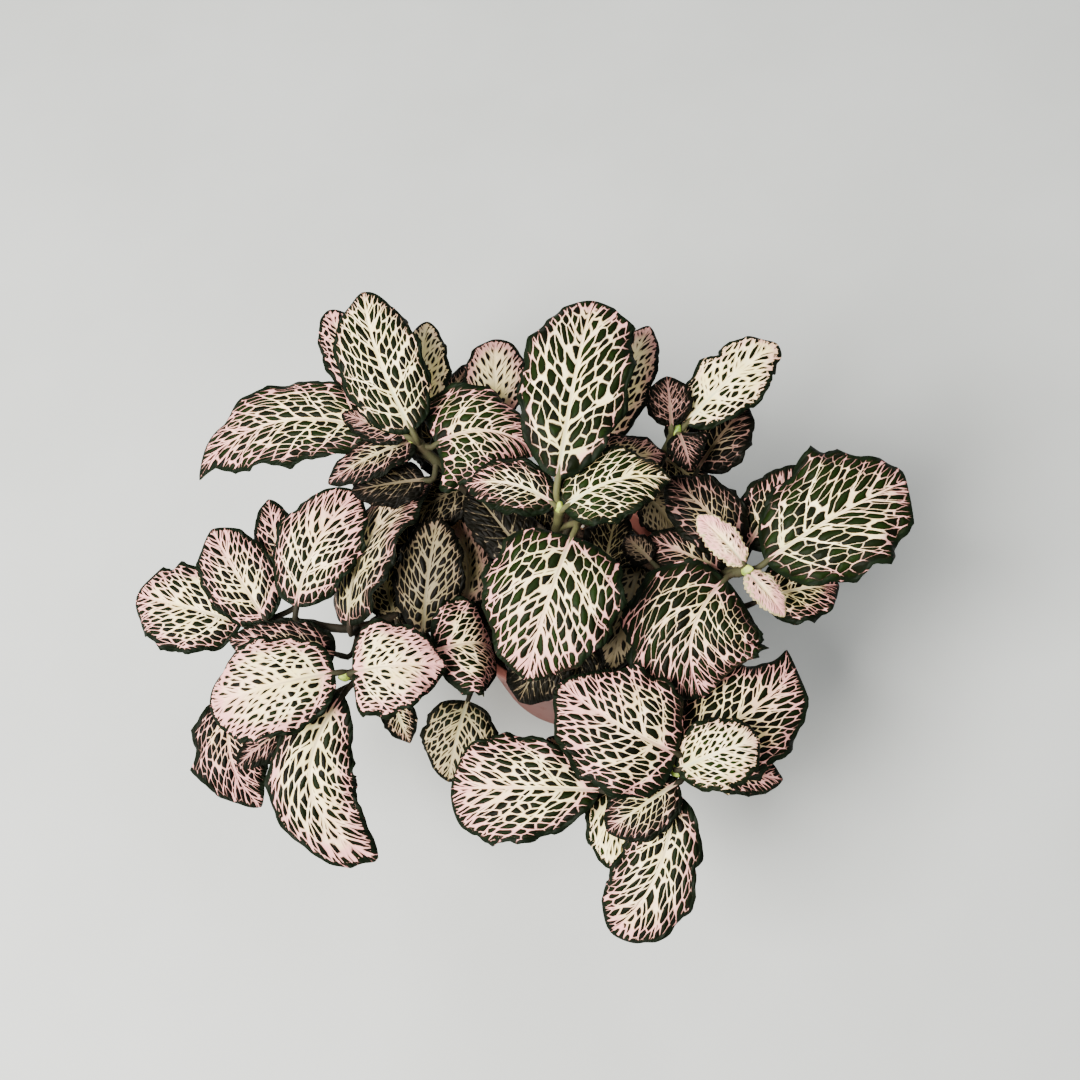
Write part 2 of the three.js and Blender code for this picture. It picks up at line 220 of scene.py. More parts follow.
lamp("window_light", place=(-0.65, -0.4, 1.05), size=0.8, watts=91, colour=(1.0, 0.98, 0.94))
lamp("ceiling_lamp", place=(0.4, 0.6, 1.3), size=0.8, watts=12, colour=(0.96, 0.98, 1.0))
surroundings = bpy.data.worlds.new("room")
surroundings.use_nodes = True
glow = surroundings.node_tree.nodes["Background"]
glow.inputs["Color"].default_value = (0.9, 0.93, 1.0, 1)
glow.inputs["Strength"].default_value = 0.25
bpy.context.scene.world = surroundings


# Nursery pot. One thin injection-moulded piece of terracotta-coloured plastic, with a stiff band round its
# rim and six drainage holes through the floor. The plant is lifted out of it as one root ball.
FOOT_RADIUS = 30
RIM_RADIUS = 34
POT_HEIGHT = 71
POT_WALL = 1.4
FLOOR_THICKNESS = 2
RIM_BAND = 6
RIM_STEP = 1.1
EDGE_ROUNDING = 0.6
ROUND_STEPS = 120
DRAIN_HOLES = 6
DRAIN_RADIUS = 3.5
DRAIN_CIRCLE = 19
DRILL_HEIGHTS = (-2, 5)
DRILL_STEPS = 32


def wall_radius(height):
    """How far out the plain wall stands at a height."""
    return FOOT_RADIUS + (RIM_RADIUS - RIM_STEP - FOOT_RADIUS) * height / POT_HEIGHT


def turned(profile, steps):
    """Places and faces of a ring-shaped profile of (radius, height), turned about the pot's middle line."""
    verts, faces = [], []
    for step in range(steps):
        angle = 2 * math.pi * step / steps
        verts += [(r * math.cos(angle), r * math.sin(angle), z) for r, z in profile]
    count = len(profile)
    for step in range(steps):
        here, ahead = step * count, (step + 1) % steps * count
        for at in range(count):
            after = (at + 1) % count
            faces.append((here + at, ahead + at, ahead + after, here + after))
    return verts, faces


def rounded(corners, radius, steps=3):
    """A run of (radius, height) corners with every corner rounded but the first and the last."""
    points = [corners[0]]
    for back, corner, ahead in zip(corners, corners[1:], corners[2:]):
        corner = Vector(corner)
        back, ahead = Vector(back) - corner, Vector(ahead) - corner
        reach = min(radius, back.length * 0.45, ahead.length * 0.45)
        start, end = corner + back.normalized() * reach, corner + ahead.normalized() * reach
        for step in range(steps + 1):
            share = step / steps
            points.append(tuple(start.lerp(corner, share).lerp(corner.lerp(end, share), share)))
    return points + [corners[-1]]


def join_up(piece):
    """Closes the seams of a turned piece, where places meet, and turns its faces outward."""
    work = bmesh.new()
    work.from_mesh(piece.data)
    bmesh.ops.remove_doubles(work, verts=work.verts, dist=0.01 * MM)
    bmesh.ops.recalc_face_normals(work, faces=work.faces)
    work.to_mesh(piece.data)
    work.free()


pot_finish, where, join = finish_of("moulded_pot", Specular_IOR_Level=0.1)
cloud = where.grain(60, 4).rise(0.25, 0.75)
scuffs = where.grain(220, 5, 0.7, (1, 1, 0.25)).rise(0.55, 0.8)
pits = where.grain(2600, 2)
height_share = where.axis("Z") / (POT_HEIGHT * MM)
dusty = (where.grain(40, 3) + (1 - height_share) * 0.35).rise(0.75, 1.05)
# The terracotta is painted darker than the plastic's own colour, as painted shade from the leaves over the
# pot.
colour = cloud.tint(paint("6c3f38"), paint("76463e"))
colour = (scuffs * 0.35).tint(colour, paint("946a5e"))
join(
    Base_Color=(dusty * 0.3).tint(colour, paint("705850")),
    Roughness=0.5 + scuffs * 0.18 + dusty * 0.1,
    Normal=(pits * 0.5 + scuffs * 0.5).bump(0.00008, 0.5),
)

band_foot = POT_HEIGHT - RIM_BAND
wall = rounded(
    [
        (0, 0),
        (FOOT_RADIUS, 0),
        (wall_radius(band_foot), band_foot),
        (RIM_RADIUS, band_foot + RIM_STEP / 2),
        (RIM_RADIUS, POT_HEIGHT),
        (wall_radius(POT_HEIGHT) - POT_WALL, POT_HEIGHT),
        (wall_radius(FLOOR_THICKNESS) - POT_WALL, FLOOR_THICKNESS),
        (0, FLOOR_THICKNESS),
    ],
    EDGE_ROUNDING,
)
pot = mesh_piece("nursery_pot", *turned(wall, ROUND_STEPS), pot_finish)
join_up(pot)
low, high = DRILL_HEIGHTS
drill_profile = [(0, low), (DRAIN_RADIUS, low), (DRAIN_RADIUS, high), (0, high)]
drills = []
for hole in range(DRAIN_HOLES):
    angle = (hole + 0.5) / DRAIN_HOLES * 2 * math.pi
    shift = np.array((DRAIN_CIRCLE * math.cos(angle), DRAIN_CIRCLE * math.sin(angle), 0))
    verts, faces = turned(drill_profile, DRILL_STEPS)
    drill = mesh_piece("drill", np.array(verts) + shift, faces, pot_finish)
    join_up(drill)
    cut = pot.modifiers.new("drain_hole", "BOOLEAN")
    cut.operation, cut.object, cut.solver = "DIFFERENCE", drill, "EXACT"
    drills.append(drill)
settled = bpy.data.meshes.new_from_object(pot.evaluated_get(bpy.context.evaluated_depsgraph_get()))
pot.modifiers.clear()
pot.data = settled
for drill in drills:
    bpy.data.objects.remove(drill)
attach(pot, "root")
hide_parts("pot")


# Potting soil. Loose dark peat with bits of bark and white perlite, pressed down round the roots to a bumpy
# top a little under the rim. Each stem stands in it.
SOIL_TOP = 61
SOIL_BUMP = 0.9
BARE_EDGE = 2.5

soil_finish, where, join = finish_of("peat", Specular_IOR_Level=0.2)
clods = where.grain(260, 6, 0.65)
fibres = where.grain(700, 4, 0.6, (1, 3, 1)).rise(0.55, 0.75)
colour = clods.rise(0.35, 0.7).tint(paint("1d140e"), paint("3f2e22"))
join(
    Base_Color=(fibres * 0.5).tint(colour, paint("5c4635")),
    Roughness=0.85 + clods * 0.15,
    Normal=(clods + fibres * 0.3).bump(0.0009, 0.9),
)
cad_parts["soil"].data.materials.clear()
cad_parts["soil"].data.materials.append(soil_finish)


def soil_height(x, y):
    """The bumpy top of the soil, as the solid has it."""
    wide = math.sin(0.31 * x + 1.3) * math.cos(0.27 * y - 0.4)
    narrow = math.sin(0.83 * x - 0.71 * y) * math.sin(0.64 * y + 0.52 * x + 2)
    return SOIL_TOP + SOIL_BUMP * (0.6 * wide + 0.4 * narrow)


def lumps(name, count, sizes, flat, finish, seed):
    """Small angular lumps of a range of sizes, half sunk in the soil's top."""
    chance = np.random.default_rng(seed)
    ball = bmesh.new()
    bmesh.ops.create_icosphere(ball, subdivisions=1, radius=1)
    shape = np.array([vert.co[:] for vert in ball.verts])
    sides = [[vert.index for vert in face.verts] for face in ball.faces]
    ball.free()
    verts, faces = [], []
    reach = wall_radius(SOIL_TOP) - POT_WALL - BARE_EDGE
    for _ in range(count):
        angle, out = chance.uniform(0, 2 * math.pi), reach * math.sqrt(chance.uniform())
        x, y = out * math.cos(angle), out * math.sin(angle)
        size = chance.uniform(*sizes) * chance.uniform(0.5, 1, 3) * (1, 1, flat)
        spin = Matrix.Rotation(chance.uniform(0, 6.3), 3, "Z")
        spin = spin @ Matrix.Rotation(chance.uniform(-0.5, 0.5), 3, "X")
        lump = shape * chance.uniform(0.75, 1.15, (len(shape), 1)) * size
        start = len(verts)
        verts += list(lump @ np.array(spin).T + (x, y, soil_height(x, y) + size[2] * 0.3))
        faces += [[start + corner for corner in side] for side in sides]
    made = mesh_piece(name, verts, faces, finish, smooth=False)
    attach(made, "root")


lumps("soil_crumbs", count=900, sizes=(0.6, 1.9), flat=0.7, finish=soil_finish, seed=7)
bark_finish, where, join = finish_of("bark_bits", Specular_IOR_Level=0.25)
rings = where.grain(500, 4, 0.6, (1, 0.2, 1))
join(
    Base_Color=rings.rise(0.3, 0.7).tint(paint("38261a"), paint("75573f")),
    Roughness=0.7 + rings * 0.2,
    Normal=rings.bump(0.0004, 0.7),
)
lumps("bark_bits", count=60, sizes=(1.2, 3.2), flat=0.35, finish=bark_finish, seed=8)
perlite_finish, where, join = finish_of("perlite", Specular_IOR_Level=0.3)
foam = where.grain(1500, 3)
join(
    Base_Color=foam.rise(0.3, 0.7).tint(paint("b9b2a4"), paint("e9e5da")),
    Roughness=0.8 + foam * 0.1,
    Normal=foam.bump(0.0003, 0.8),
)
lumps("perlite", count=45, sizes=(0.8, 1.7), flat=0.9, finish=perlite_finish, seed=9)


# Leafy shoots, stems first. Each shoot is one rooted stem, dark olive and downy, that carries opposite
# pairs of leaves on short petioles, each pair turned a quarter from the last, and ends in a pale bud.
PLAIN = {"arch": 3, "bow": 0, "roll": 0, "full": 0.43, "heart": 0.15, "points": (), "dull": 0, "young": 0}


def blade(start, end, wide, **own):
    """A leaf blade from its base to its tip, plain but for what is its own. Its midrib bulges up by arch
    and to its left by bow, roll turns its face to its left in degrees, full is the share of its length
    where it is widest, and heart pulls its base lobes back. Each of its points has its share of the length,
    its side, 1 for left and -1 for right, and its reach, below 0 for a notch. At share 1 it is the tip,
    and the second number is how far it leans to the left. cell is the size of its net's cells, wash how far
    the pale net has spread over the green, pink, green and young how much of each it is, and dull how much
    painted shade darkens it, standing in for the shade deep in the plant."""
    return {"start": start, "end": end, "wide": wide, **PLAIN, **own}


# Where each shoot stands in the soil, the way of its stem, the shares of it where its joints are, and its
# blades, from the top down.
SHOOTS = {
    "back_left_shoot": {
        "root": (-12, 10),
        "way": [(-17, 14, 76), (-29, 25, 92), (-41, 34, 106)],
        "joints": [0.7, 0.84, 0.97],
        "blades": [
            blade((-41, 35, 110), (-57, 80, 114), 25, arch=4, bow=2, full=0.48,
                  cell=2.3, wash=0.3, pink=0.15, green=0.4),
            blade((-41, 34, 106), (-67, 23, 102), 14, roll=-6,
                  cell=1.9, wash=0.1, pink=0.5, green=0.1, dull=0.6),
            blade((-53, 38, 104), (-111, 36, 90), 27, arch=5, bow=-7, full=0.5,
                  points=[(0.59, -1, 1.6), (0.84, 1, 1.5), (0.93, 1, -2), (1, 1.2, 3)],
                  cell=2.3, wash=0.2, pink=0.7, green=0.5),
            blade((-35, 33, 105), (-6, 32, 98), 32, arch=6, bow=3, full=0.3, heart=0.8, points=[(1, 0, 1)],
                  cell=3, wash=0.1, pink=0.75, green=0.7),
            blade((-43, 34, 109), (-63, 43, 107), 11, arch=1,
                  cell=1.8, wash=0.3, pink=0.6, green=0.1, dull=0.65),
            blade((-50, 46, 98), (-72, 84, 99), 18, bow=1, full=0.5,
                  cell=2, wash=0.5, pink=0.5, green=0.1, dull=0.15),
            blade((-39, 24, 100), (-61, 22, 98), 14, arch=1,
                  cell=2, wash=-0.2, pink=0.3, green=0.2, dull=1),
            blade((-41, 43, 101), (-40, 77, 101), 17, cell=2.2, wash=1.1, pink=0.05, green=0.6, dull=0.3),
            blade((-36, 45, 94), (-28, 68, 90), 9, arch=2, cell=2, wash=0.1, pink=0.3, green=0.1, dull=0.8),
            blade((-27, 32, 84), (-49, 54, 80), 18, arch=2,
                  cell=2.4, wash=-0.3, pink=0.4, green=0.2, dull=0.95),
            blade((-28, 28, 87), (-47, 17, 85), 18, arch=2,
                  cell=2.2, wash=0.1, pink=0.1, green=0.3, dull=1),
            blade((-45, 29, 86), (-65, 32, 84), 16, arch=2, cell=2, wash=-0.2, pink=0.1, green=0.5, dull=1),
        ],
    },
    "middle_shoot": {
        "root": (0, 2),
        "way": [(1, 3, 82), (0, 4, 102), (2, 5, 121)],
        "joints": [0.55, 0.78, 0.98],
        "blades": [
            blade((1, 5, 123), (-23, 13, 120), 16, bow=-2, full=0.5, points=[(1, 0, 0.8)],
                  cell=2.1, wash=0, pink=0.45, green=0.3, dull=0.1),
            blade((3, 4, 123), (31, 13, 120), 21, arch=4, bow=2, points=[(1, 0, 0.8)],
                  cell=2.3, wash=0.1, pink=0.05, green=0.7),
            blade((2, 11, 127), (12, 64, 128), 30, arch=5, full=0.56,
                  points=[(0.955, 1, 2), (0.87, -1, 2.6), (0.965, -1, 1.2)],
                  cell=3.6, wash=0.25, pink=0.35, green=0.6),
            blade((5, -2, 118), (-8, -38, 106), 37, arch=6, heart=0.3,
                  cell=3.2, wash=0.3, pink=0.65, green=0.7),
            blade((10, 20, 112), (31, 27, 106), 17, arch=2,
                  cell=1.9, wash=0.4, pink=0.4, green=0.1, dull=0.7),
            blade((13, 30, 106), (28, 70, 104), 16, full=0.5,
                  cell=2.2, wash=0.9, pink=0.25, green=0.1, dull=0.35),
            blade((-19, 44, 93), (-19, 72, 97), 19, full=0.58,
                  cell=2.6, wash=1.1, pink=0.35, green=0.1, dull=0.6),
            blade((-10, 2, 92), (-27, 25, 92), 17, arch=2,
                  cell=2.4, wash=-0.4, pink=0.1, green=0.4, dull=1),
            blade((-3, 8, 84), (-14, 22, 84), 15, arch=2, cell=2.2, wash=0, pink=0.1, green=0.3, dull=0.95),
        ],
    },
    "back_right_shoot": {
        "root": (12, 11),
        "way": [(17, 15, 78), (26, 24, 93), (34, 32, 108)],
        "joints": [0.42, 0.6, 0.8, 0.98],
        "blades": [
            blade((33, 33, 111), (32, 46, 116), 13, arch=2, full=0.5,
                  cell=1.7, wash=0.1, pink=1.4, green=0.1, dull=0.8),
            blade((35, 31, 110), (38, 21, 107), 10, arch=2, points=[(0.24, 1, 2.6), (0.34, 1, 1.4)],
                  cell=1.6, wash=0, pink=1.4, green=0.1, dull=0.75),
            blade((37, 34, 110), (64, 58, 111), 20, arch=4, full=0.52,
                  points=[(0.57, 1, -2.2), (0.75, -1, -2.4), (0.87, -1, -1.6)],
                  cell=2.2, wash=0.95, pink=0.12, green=0.5),
            blade((41, 27, 95), (56, 45, 99), 18, cell=2.7, wash=0, pink=0.8, green=0.1, dull=0.85),
            blade((34, 38, 88), (52, 52, 84), 17, arch=2,
                  cell=2.5, wash=0.2, pink=0.6, green=0.1, dull=0.85),
            blade((31, 33, 91), (44, 22, 86), 15, arch=2,
                  cell=2.2, wash=0.1, pink=0.3, green=0.3, dull=0.85),
            blade((26, 21, 88), (35, 10, 86), 14, arch=2, cell=2, wash=1.3, pink=0, green=1, dull=1),
        ],
    },
    "right_shoot": {
        "root": (17, -2),
        "way": [(23, -3, 75), (38, -6, 90), (51, -8, 104)],
        "joints": [0.62, 0.82, 0.97],
        "blades": [
            blade((51, -7, 106), (39, 6, 110), 9, arch=2, full=0.5,
                  cell=1.6, wash=2.6, pink=0.3, green=0.6, young=1),
            blade((52, -9, 105), (61, -21, 103), 8, arch=2,
                  cell=1.6, wash=2, pink=0.32, green=0.5, dull=0.3, young=1),
            blade((57, -6, 105), (96, 15, 108), 34, arch=6, full=0.5,
                  points=[(0.62, 1, 5), (0.78, 1, 3.6), (0.95, 1, 2.6), (0.6, -1, 1.6), (0.88, -1, 1.4),
                          (1, 2.6, 1.2)], cell=3.5, wash=0, pink=0.5, green=0.6),
            blade((46, -10, 103), (39, -40, 91), 38, arch=6, bow=-6, full=0.5, heart=0.3,
                  points=[(0.63, -1, -2), (0.38, 1, -1.2), (0.6, 1, 1.2), (0.74, 1, 2.4), (0.86, 1, 2.2)],
                  cell=2.8, wash=0, pink=0.75, green=0.45, dull=0.1),
            blade((50, 0, 102), (32, 22, 100), 20, cell=2.6, wash=0, pink=0.7, green=0.2, dull=0.75),
            blade((57, -13, 94), (79, -8, 89), 19, cell=2.4, wash=0.1, pink=0.5, green=0.3, dull=0.1),
            blade((53, 1, 98), (70, 25, 98), 18, cell=2.8, wash=0, pink=0.7, green=0.3, dull=0.4),
            blade((46, -7, 98), (25, 5, 96), 17, cell=2.5, wash=0, pink=0.8, green=0.2, dull=0.65),
            blade((38, 2, 82), (58, 14, 78), 17, arch=2,
                  cell=2.5, wash=0.2, pink=0.4, green=0.2, dull=0.85),
        ],
    },
    "front_shoot": {
        "root": (8, -17),
        "way": [(12, -24, 73), (21, -42, 83), (30, -59, 92)],
        "joints": [0.62, 0.8, 0.98],
        "blades": [
            blade((31, -56, 96), (0, -37, 98), 34, arch=5, bow=2, full=0.42, heart=0.3,
                  cell=2.4, wash=0.4, pink=0.8, green=0.25),
            blade((31, -60, 94), (53, -52, 94), 19, full=0.5,
                  points=[(0.97, 1, 1.8), (0.84, -1, 1.4), (0.44, -1, 1.2)],
                  cell=2, wash=0.8, pink=0.15, green=1),
            blade((31, -63, 92), (12, -75, 87), 17, full=0.48,
                  cell=2, wash=0.05, pink=0.35, green=0.3, dull=0.45),
            blade((30, -65, 88), (12, -100, 72), 23, arch=5, bow=5, full=0.58,
                  points=[(0.9, -1, 1), (0.4, 1, -2)], cell=2.3, wash=0.3, pink=0.5, green=0.4, dull=0.1),
            blade((33, -52, 82), (66, -30, 80), 31, arch=4, bow=-3, points=[(1, 1.2, 4.2), (0.88, -1, 1)],
                  cell=2.5, wash=0.2, pink=0.6, green=0.3),
            blade((10, -64, 86), (-32, -62, 78), 30, arch=4, full=0.62,
                  points=[(0.92, -1, 2.2), (0.3, -1, 0.9)], cell=2.6, wash=0.4, pink=0.6, green=0.35),
            blade((15, -63, 80), (21, -84, 71), 18, bow=-3, cell=2.2, wash=1, pink=0.05, green=1),
            blade((41, -58, 79), (61, -60, 75), 12, arch=2,
                  cell=2, wash=0.3, pink=0.5, green=0.2, dull=0.25),
            blade((8, -55, 79), (-5, -48, 77), 8, arch=1, cell=2, wash=0.3, pink=0.4, green=0.2, dull=0.85),
        ],
    },
    "left_shoot": {
        "root": (-18, -9),
        "way": [(-22, -13, 71), (-33, -24, 78), (-49, -28, 87), (-59, -33, 96)],
        "joints": [0.72, 0.86, 0.98],
        "blades": [
            blade((-62, -33, 99), (-98, -41, 95), 29, arch=4, full=0.55, heart=0.28,
                  cell=2.2, wash=1, pink=0.55, green=0.5),
            blade((-57, -33, 99), (-31, -31, 97), 27, arch=4, full=0.38, heart=0.38,
                  cell=2.1, wash=1.1, pink=0.6, green=0.3),
            blade((-61, -38, 93), (-53, -81, 75), 24, arch=4, bow=-13, full=0.5,
                  points=[(0.93, -1, 1.2), (0.965, -1, -2.2), (0.48, 1, 1.6)],
                  cell=2.4, wash=0.55, pink=0.5, green=0.3),
            blade((-75, -42, 86), (-93, -56, 83), 12, arch=2, cell=2, wash=0, pink=1, green=0.1, dull=0.6),
            blade((-50, -36, 78), (-46, -47, 72), 10, arch=2, points=[(1, 0, 1.2)],
                  cell=2, wash=0.3, pink=0.15, green=0.1, dull=0.5),
        ],
    },
    "low_left_shoot": {
        "root": (-21, 6),
        "way": [(-28, 2, 71), (-44, -7, 77), (-62, -15, 81), (-80, -13, 82), (-91, -13, 84)],
        "joints": [0.34, 0.62, 0.8, 0.97],
        "blades": [
            blade((-95, -14, 85), (-129, -4, 84), 27, full=0.5, points=[(0.9, -1, 3.4)],
                  cell=2.2, wash=0.5, pink=0.5, green=0.3),
            blade((-87, -14, 87), (-105, 14, 91), 22, full=0.48, cell=2.1, wash=0.35, pink=0.65, green=0.2),
            blade((-77, -11, 91), (-60, 23, 95), 26, arch=4, bow=2, full=0.52,
                  cell=2.2, wash=0.45, pink=0.65, green=0.3),
            blade((-95, -35, 83), (-89, -65, 74), 21, arch=4, bow=-4, full=0.48,
                  points=[(0.31, -1, 1.6), (0.57, -1, 2.2), (1, 0, 1.4)],
                  cell=2.1, wash=0.1, pink=1, green=0.1, dull=0.12),
            blade((-81, -4, 84), (-90, 25, 87), 15, cell=2.1, wash=0.2, pink=0.8, green=0.1, dull=0.25),
            blade((-62, -16, 87), (-38, 26, 93), 26, bow=7, roll=34,
                  cell=2.2, wash=0.4, pink=0.45, green=0.2, dull=0.55),
            blade((-66, -24, 86), (-98, -19, 86), 17, arch=2,
                  cell=2, wash=0, pink=0.8, green=0.1, dull=0.4),
            blade((-50, -12, 79), (-57, 10, 79), 14, arch=2,
                  cell=2, wash=0.5, pink=0.1, green=0.3, dull=0.9),
            blade((-42, 6, 72), (-60, 26, 72), 18, arch=2,
                  cell=2.4, wash=-0.4, pink=0.4, green=0.2, dull=1),
        ],
    },
    "low_middle_shoot": {
        "root": (-8, -15),
        "way": [(-14, -17, 73), (-25, -19, 82), (-34, -20, 88)],
        "joints": [0.62, 0.8, 0.98],
        "blades": [
            blade((-41, -17, 82), (-36, 15, 92), 21, full=0.5,
                  cell=2.5, wash=0.4, pink=0.1, green=0.3, dull=0.95),
            blade((-36, -26, 93), (-21, -22, 79), 30, arch=6, cell=2.4, wash=0.4, pink=0.75, green=0.4),
            blade((-29, -9, 80), (-34, 20, 82), 15, arch=2, bow=-3,
                  cell=1.8, wash=1.2, pink=0.5, green=0.1, dull=0.9),
            blade((-28, -37, 78), (-34, -59, 71), 21, points=[(0.33, 1, 1.2), (0.63, -1, 0.8)],
                  cell=2.2, wash=0.6, pink=0, green=1, dull=0.8),
            blade((-42, -22, 73), (-60, -9, 70), 15, arch=2, cell=2.2, wash=0, pink=0.1, green=0.4, dull=1),
        ],
    },
    "low_right_shoot": {
        "root": (5, -9),
        "way": [(7, -11, 76), (12, -10, 86), (20, -6, 94)],
        "joints": [0.66, 0.98],
        "blades": [
            blade((26, -3, 100), (19, 5, 98), 9, arch=1, cell=1.7, wash=0.6, pink=0.3, green=0.1, dull=1),
            blade((23, -3, 96), (14, -32, 90), 17, cell=2.3, wash=0.8, pink=0, green=0.9, dull=1),
            blade((-2, -21, 84), (-13, -37, 76), 20, cell=2.3, wash=-0.25, pink=0.1, green=0.6, dull=1),
            blade((7, -20, 79), (2, -33, 73), 16, cell=2.3, wash=-0.5, pink=0.1, green=0.6, dull=1),
            blade((28, -18, 76), (46, -28, 72), 18, arch=2,
                  cell=2.4, wash=0.2, pink=0.4, green=0.2, dull=0.8),
            blade((12, -4, 86), (17, 18, 86), 17, arch=2, cell=2.2, wash=0, pink=0.1, green=0.2, dull=0.9),
        ],
    },
}
# The solid's stem, a little slimmed.
STEM_RADIUS = 1.4 * 0.96
STEM_SIDES = 14
STEM_STEPS = 90
SPAN_STEPS = 24
HOLE_DEPTH = 14
JOINT_SWELL = 0.3
JOINT_LENGTH = 1.6
PETIOLE_RADIUS = 0.9
PETIOLE_SIDES = 10
PETIOLE_RISE = 0.35
PETIOLE_UNDER_BLADE = 0.12
SHORT_PETIOLE = 4
BUD_RADIUS = 1.6
BUD_LENGTH = 4.4
BUD_FOLD = 0.22


def spline(points, steps):
    """Evenly spaced places on one smooth way through the points."""
    points = np.array(points, float)
    points = np.vstack([2 * points[0] - points[1], points, 2 * points[-1] - points[-2]])
    way = []
    for before, start, end, after in zip(points, points[1:], points[2:], points[3:]):
        gaps = (start - before, end - start, after - end)
        first, span, last = (np.linalg.norm(gap) ** 0.5 for gap in gaps)
        leave = ((start - before) / first - (end - before) / (first + span) + (end - start) / span) * span
        arrive = ((end - start) / span - (after - start) / (span + last) + (after - end) / last) * span
        share = np.linspace(0, 1, SPAN_STEPS, endpoint=False)[:, None]
        cubic = 2 * start - 2 * end + leave + arrive
        square = -3 * start + 3 * end - 2 * leave - arrive
        way.append(start + leave * share + square * share**2 + cubic * share**3)
    way = np.vstack(way + [points[-2]])
    reach = np.concatenate([[0], np.cumsum(np.linalg.norm(np.diff(way, axis=0), axis=1))])
    even = np.linspace(0, reach[-1], steps + 1)
    return np.stack([np.interp(even, reach, way[:, axis]) for axis in range(3)], axis=1)


def unit(rows):
    """Directions with a length of 1."""
    return rows / np.maximum(np.linalg.norm(rows, axis=-1, keepdims=True), 1e-9)


def tube(way, radii, sides):
    """Places and faces of a closed round tube with a radius for each place of its way."""
    ahead = unit(np.gradient(way, axis=0))
    beside = np.cross(ahead[0], (0.3, 0.8, 0.52))
    verts = []
    for place, along, radius in zip(way, ahead, radii):
        beside = unit(beside - along * np.dot(beside, along))
        other = np.cross(along, beside)
        turn = np.arange(sides) / sides * 2 * math.pi
        verts.append(place + radius * (np.cos(turn)[:, None] * beside + np.sin(turn)[:, None] * other))
    count = len(way)
    faces = [
        (row + at, row + (at + 1) % sides, row + sides + (at + 1) % sides, row + sides + at)
        for row in range(0, (count - 1) * sides, sides)
        for at in range(sides)
    ]
    faces += [tuple(range(sides))[::-1], tuple((count - 1) * sides + at for at in range(sides))]
    return np.vstack(verts), faces


def midrib_of(leaf, along):
    """Places on a blade's midrib, its direction there, and the blade's upright."""
    start, end = np.array(leaf["start"], float), np.array(leaf["end"], float)
    ahead = unit(end - start)
    left = unit(np.cross((0, 0, 1), ahead))
    top = np.cross(ahead, left)
    middle = (start + end) / 2 + 2 * leaf["arch"] * top + 2 * leaf["bow"] * left
    along = np.asarray(along, float)[..., None]
    places = (1 - along) ** 2 * start + 2 * along * (1 - along) * middle + along**2 * end
    return places, unit((1 - along) * (middle - start) + along * (end - middle)), top


def swelling(way, joints):
    """How far the stem stands out at each place for the joints near it."""
    out = np.zeros(len(way))
    for joint in joints:
        out = np.maximum(out, np.exp(-((np.linalg.norm(way - joint, axis=1) / JOINT_LENGTH) ** 2)))
    return out * JOINT_SWELL


def petiole(joint, leaf):
    """A blade's stalk, from its joint, bowed up to the blade, and on under its midrib."""
    (start, under), ahead, top = midrib_of(leaf, (0, PETIOLE_UNDER_BLADE))
    reach = np.linalg.norm(start - joint)
    before = start - ahead[0] * reach * PETIOLE_RISE - (0, 0, PETIOLE_RADIUS / 2)
    points = [joint, before, start - top * 0.3, under - top * 0.75]
    if reach <= SHORT_PETIOLE:
        points.pop(1)
    way = spline(points, max(8, round(reach / 1.2)))
    share = np.linspace(0, 1, len(way))
    radii = PETIOLE_RADIUS * (1 + 0.3 * np.exp(-share * 9) - 0.45 * np.clip(share - 0.7, 0, 1) / 0.3)
    return tube(way, radii, PETIOLE_SIDES)


def bud(tip, ahead):
    """A pointed bud of two tiny leaves folded face to face, with a groove where they meet."""
    rings, sides = 9, 16
    share = np.linspace(0.02, 1, rings)
    width = BUD_RADIUS * np.sin(math.pi * share**0.75) ** 0.8 + 0.03
    way = tip + ahead * (share[:, None] * BUD_LENGTH - BUD_RADIUS * 0.6)
    verts, faces = tube(way, width, sides)
    fold = np.tile(1 - BUD_FOLD * np.abs(np.cos(np.arange(sides) / sides * 2 * math.pi)) ** 6, rings)
    middle = np.repeat(way, sides, axis=0)
    return middle + (verts - middle) * fold[:, None], faces


def gathered(parts):
    """The places and the faces of several parts, each in one list."""
    verts, faces, start = [], [], 0
    for places, sides in parts:
        verts.append(places)
        faces += [[start + corner for corner in side] for side in sides]
        start += len(places)
    return np.vstack(verts), faces


stem_finish, where, join = finish_of("downy_stem", Specular_IOR_Level=0.12)
streaks = where.grain(300, 4, 0.6, (1, 1, 0.3))
down = where.grain(2400, 3, 0.7)
height = where.axis("Z") * (1 / MM)
# Painted shade: the stems are painted near black low in the plant, under the leaves, and turn olive higher
# up.
colour = height.rise(90, 128).tint(paint("18160d"), paint("48482c"))
colour = (streaks.rise(0.45, 0.7) * 0.5).tint(colour, paint("2f221b"))
join(
    Base_Color=(down.rise(0.6, 0.8) * 0.3).tint(colour, paint("6a6548")),
    Roughness=0.6 + streaks * 0.2,
    Normal=(streaks * 0.4 + down * 0.6).bump(0.0003, 0.7),
)
bud_finish, where, join = finish_of("young_bud", Specular_IOR_Level=0.4)
down = where.grain(1800, 3)
join(
    Base_Color=where.grain(350, 3).rise(0.35, 0.7).tint(paint("56701c"), paint("a0ab45")),
    Roughness=0.45 + down * 0.2,
    Normal=down.bump(0.0003, 0.5),
)
